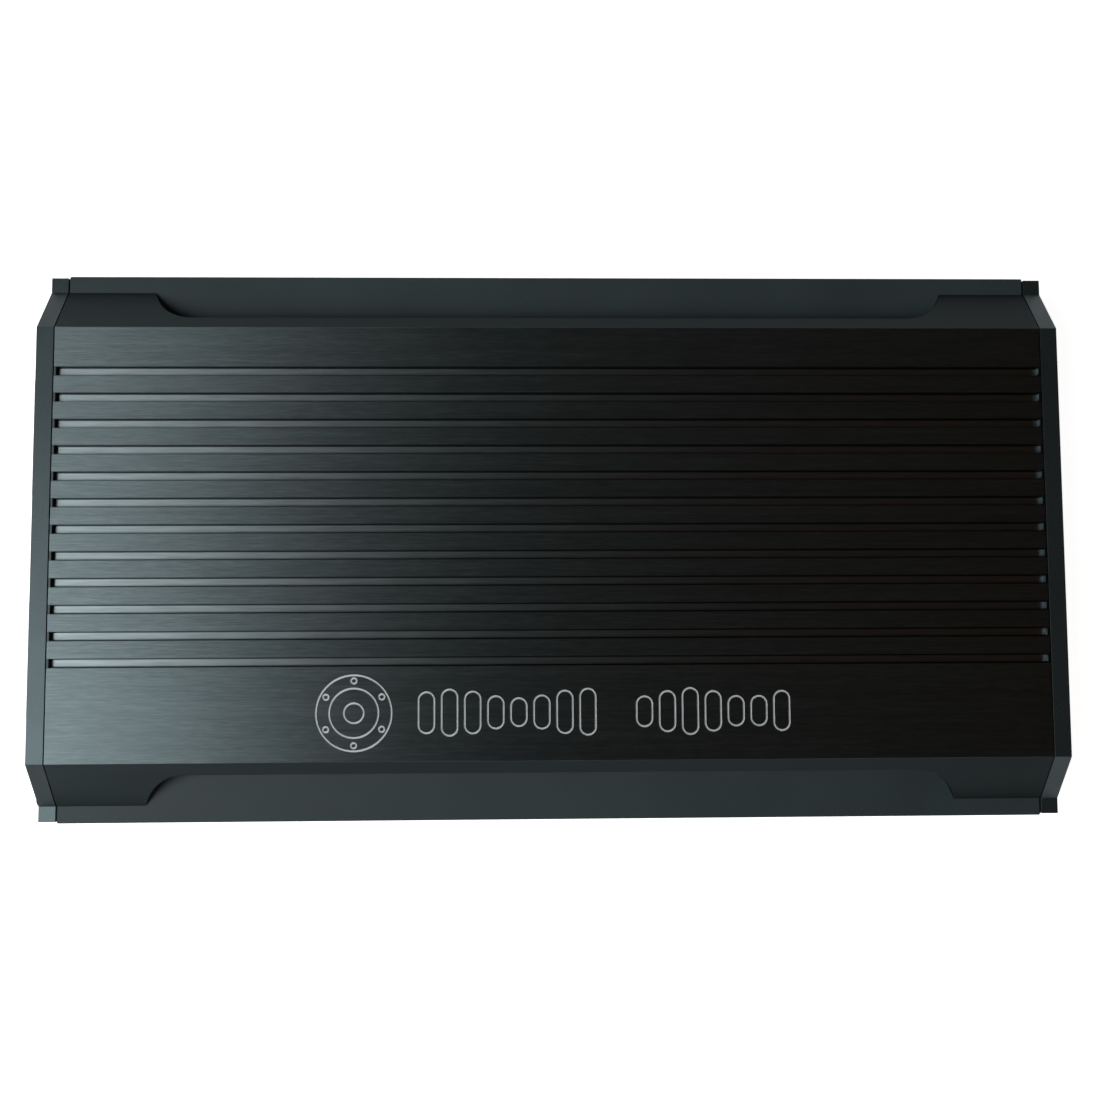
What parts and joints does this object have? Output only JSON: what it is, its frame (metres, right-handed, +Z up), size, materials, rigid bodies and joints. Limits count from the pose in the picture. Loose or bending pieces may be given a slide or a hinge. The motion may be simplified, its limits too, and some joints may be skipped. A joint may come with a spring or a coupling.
{
  "type": "car amplifier",
  "caption": "Low black car audio amplifier: grooved brushed cover with sloped, cut-out shoulders on a finned body, terminals and controls on its ends.",
  "frame": {"origin": "middle of the underside, where the bottom plate meets the mounting surface", "axes": "+X along the body towards the signal end plate, +Y across it towards the rear edge, +Z up through the grooved cover"},
  "size_m": [0.454, 0.2304, 0.056],
  "materials": {
    "brushed_black": "brushed along the length, black anodised, satin",
    "matte_black_aluminium": "fine bead-blasted, black anodised, matte",
    "anodised_plate": "smooth black anodised plate, satin",
    "black_steel": "black powder coat, fine texture",
    "black_screw": "black oxide steel",
    "zinc_steel": "zinc plated",
    "circuit_board": "green solder resist",
    "brass": "plain brass",
    "nickel_brass": "nickel plated brass",
    "gold_brass": "gold plated brass",
    "copper": "enamelled copper",
    "ferrite": "painted ferrite",
    "powder_core": "painted iron powder",
    "capacitor_sleeve": "shrink sleeve over aluminium",
    "film_capacitor": "dipped epoxy",
    "epoxy_package": "moulded epoxy",
    "thermal_pad": "silicone sheet",
    "pot_body": "moulded plastic",
    "knob_plastic": "moulded plastic, fluted",
    "slider_plastic": "moulded plastic",
    "black_plastic": "moulded plastic, fine texture",
    "ribbon": "flat ribbon",
    "blue_lens": "tinted lens",
    "red_lens": "tinted lens"
  },
  "bodies": {
    "chassis": {"top_cover": "brushed_black", "heatsink": "matte_black_aluminium", "bottom_plate": "black_steel", "power_end_plate": "anodised_plate", "signal_end_plate": "anodised_plate", "end_plate_screws": "black_screw", "base_screws": "black_screw", "cover_screws": "zinc_steel", "main_board": "circuit_board", "board_standoffs": "brass", "board_screws": "zinc_steel", "control_board": "circuit_board", "control_board_standoffs": "brass", "control_board_screws": "zinc_steel", "ribbon_jumper": "ribbon", "power_terminal_housing": "black_plastic", "power_clamp_blocks": "nickel_brass", "power_clamp_screws": "nickel_brass", "speaker_terminal_housing": "black_plastic", "speaker_clamp_blocks": "nickel_brass", "speaker_clamp_screws": "nickel_brass", "supply_bus_bars": "copper", "input_choke_core": "ferrite", "input_choke_winding": "copper", "transformer_cores": "ferrite", "transformer_windings": "copper", "transformer_bolts": "zinc_steel", "input_capacitors": "capacitor_sleeve", "rail_capacitors": "capacitor_sleeve", "output_inductor_cores": "powder_core", "output_inductor_windings": "copper", "output_film_capacitors": "film_capacitor", "supply_mosfets": "epoxy_package", "rectifier_diodes": "epoxy_package", "output_mosfets": "epoxy_package", "insulator_pads": "thermal_pad", "clamp_bars": "zinc_steel", "clamp_bar_screws": "zinc_steel", "driver_board": "circuit_board", "driver_chips": "epoxy_package", "control_chips": "epoxy_package", "pot_bodies": "pot_body", "slide_switch_bodies": "zinc_steel", "phono_housings": "black_plastic", "phono_sleeves": "gold_brass", "phono_contacts": "gold_brass", "remote_jack": "black_plastic", "power_led": "blue_lens", "protect_led": "red_lens"},
    "level_knob": {"level_knob": "knob_plastic"},
    "low_pass_knob": {"low_pass_knob": "knob_plastic"},
    "subsonic_knob": {"subsonic_knob": "knob_plastic"},
    "bass_boost_knob": {"bass_boost_knob": "knob_plastic"},
    "phase_slider": {"phase_slider": "slider_plastic"},
    "mode_slider": {"mode_slider": "slider_plastic"}
  },
  "joints": [
    {"name": "level_knob_turn", "type": "hinge", "parent": "chassis", "child": "level_knob", "pos_m": [0.213, -0.02952, 0.021], "axis": [1, 0, 0], "range_deg": [-140, 140]},
    {"name": "low_pass_knob_turn", "type": "hinge", "parent": "chassis", "child": "low_pass_knob", "pos_m": [0.213, -0.01085, 0.021], "axis": [1, 0, 0], "range_deg": [-140, 140]},
    {"name": "subsonic_knob_turn", "type": "hinge", "parent": "chassis", "child": "subsonic_knob", "pos_m": [0.213, 0.00783, 0.021], "axis": [1, 0, 0], "range_deg": [-140, 140]},
    {"name": "bass_boost_knob_turn", "type": "hinge", "parent": "chassis", "child": "bass_boost_knob", "pos_m": [0.213, 0.0265, 0.021], "axis": [1, 0, 0], "range_deg": [-140, 140]},
    {"name": "phase_slider_slide", "type": "slide", "parent": "chassis", "child": "phase_slider", "axis": [0, 1, 0], "range_m": [0, 0.004]},
    {"name": "mode_slider_slide", "type": "slide", "parent": "chassis", "child": "mode_slider", "axis": [0, 1, 0], "range_m": [0, 0.004]}
  ]
}
